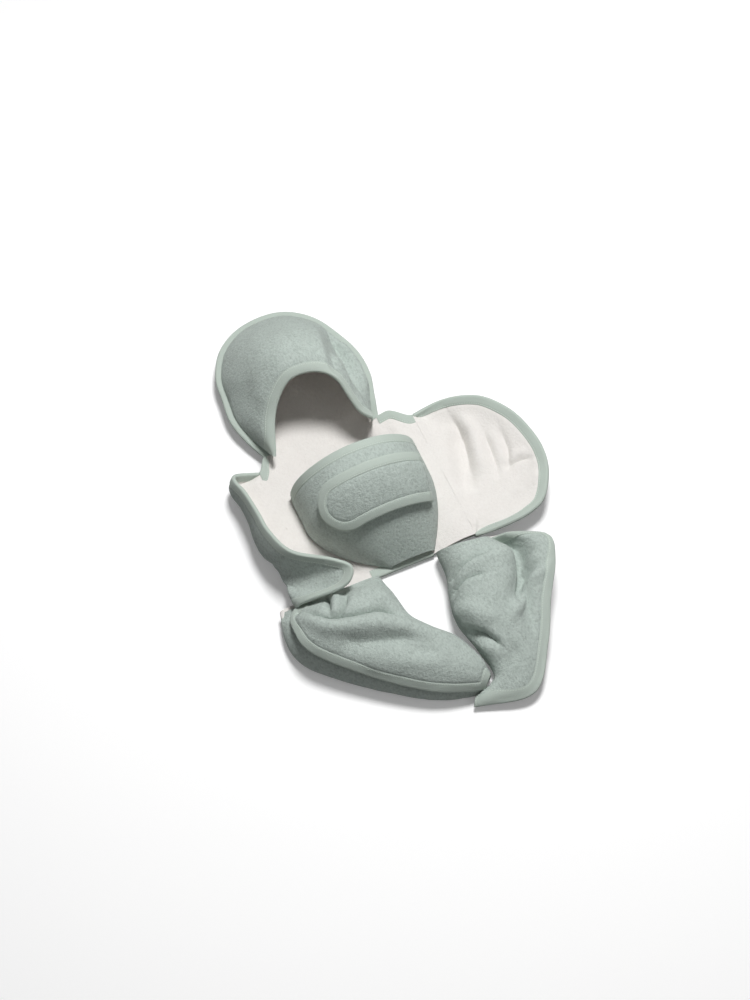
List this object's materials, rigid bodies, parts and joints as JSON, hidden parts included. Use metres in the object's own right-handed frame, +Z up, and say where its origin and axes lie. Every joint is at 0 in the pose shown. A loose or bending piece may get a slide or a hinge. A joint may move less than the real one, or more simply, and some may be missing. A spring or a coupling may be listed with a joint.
{
  "type": "baby wrap blanket",
  "caption": "Hooded star-shaped wrap blanket of doubled fleece with side wings, a belly panel closed by a tab, and rolled leg wraps with taped edges.",
  "frame": {"origin": "under the middle of the torso, on the surface that the blanket lies on", "axes": "+Z up, +Y from the leg wraps to the hood, +X to the wearer's left"},
  "size_m": [0.3801, 0.5917, 0.1146],
  "materials": {
    "outer_fleece": "matt brushed fleece, sage green melange",
    "lining_fleece": "matt brushed fleece, ivory",
    "edge_tape": "smooth knitted edge tape, sage green",
    "fastener_tape": "hook and loop tape, sage green"
  },
  "bodies": {
    "torso": {"back_shell": "outer_fleece", "back_lining": "lining_fleece", "left_neck_binding": "edge_tape", "right_neck_binding": "edge_tape", "crotch_binding": "edge_tape", "belly_panel_shell": "outer_fleece", "belly_panel_lining": "lining_fleece", "belly_panel_binding": "edge_tape", "belly_loop_patch": "fastener_tape"},
    "head": {"head_shell": "outer_fleece", "head_lining": "lining_fleece", "hood_shell": "outer_fleece", "hood_lining": "lining_fleece", "hood_rim_binding": "edge_tape", "hood_face_binding": "edge_tape"},
    "left_wing": {"left_wing_shell": "outer_fleece", "left_wing_lining": "lining_fleece", "left_wing_binding": "edge_tape"},
    "right_wing": {"right_wing_shell": "outer_fleece", "right_wing_lining": "lining_fleece", "right_wing_binding": "edge_tape"},
    "belly_tab": {"belly_tab_shell": "outer_fleece", "belly_tab_lining": "lining_fleece", "belly_tab_binding": "edge_tape", "belly_tab_hook_patch": "fastener_tape"},
    "left_leg": {"left_leg_shell": "outer_fleece", "left_leg_lining": "lining_fleece", "left_leg_binding": "edge_tape"},
    "right_leg": {"right_leg_shell": "outer_fleece", "right_leg_lining": "lining_fleece", "right_leg_binding": "edge_tape"}
  },
  "joints": [
    {"name": "left_wing_fold", "type": "hinge", "parent": "torso", "child": "left_wing", "pos_m": [0.1003, 0.01, 0.0154], "axis": [0, 1, 0], "range_deg": [-95, 0]},
    {"name": "right_wing_fold", "type": "hinge", "parent": "torso", "child": "right_wing", "pos_m": [-0.1003, 0.01, 0.0154], "axis": [0, 1, 0], "range_deg": [0, 50]},
    {"name": "belly_tab_open", "type": "hinge", "parent": "torso", "child": "belly_tab", "pos_m": [0.066, -0.0264, 0.0643], "axis": [0, 1, 0], "range_deg": [0, 110]},
    {"name": "head_fold", "type": "hinge", "parent": "torso", "child": "head", "pos_m": [-0.014, 0.118, 0.0154], "axis": [1, 0, 0], "range_deg": [0, 45]},
    {"name": "left_leg_lift", "type": "hinge", "parent": "torso", "child": "left_leg", "pos_m": [0.0512, -0.08, 0.013], "axis": [1, 0, 0], "range_deg": [-24, 0]},
    {"name": "right_leg_lift", "type": "hinge", "parent": "torso", "child": "right_leg", "pos_m": [-0.0103, -0.08, 0.013], "axis": [1, 0, 0], "range_deg": [-12, 0]}
  ]
}
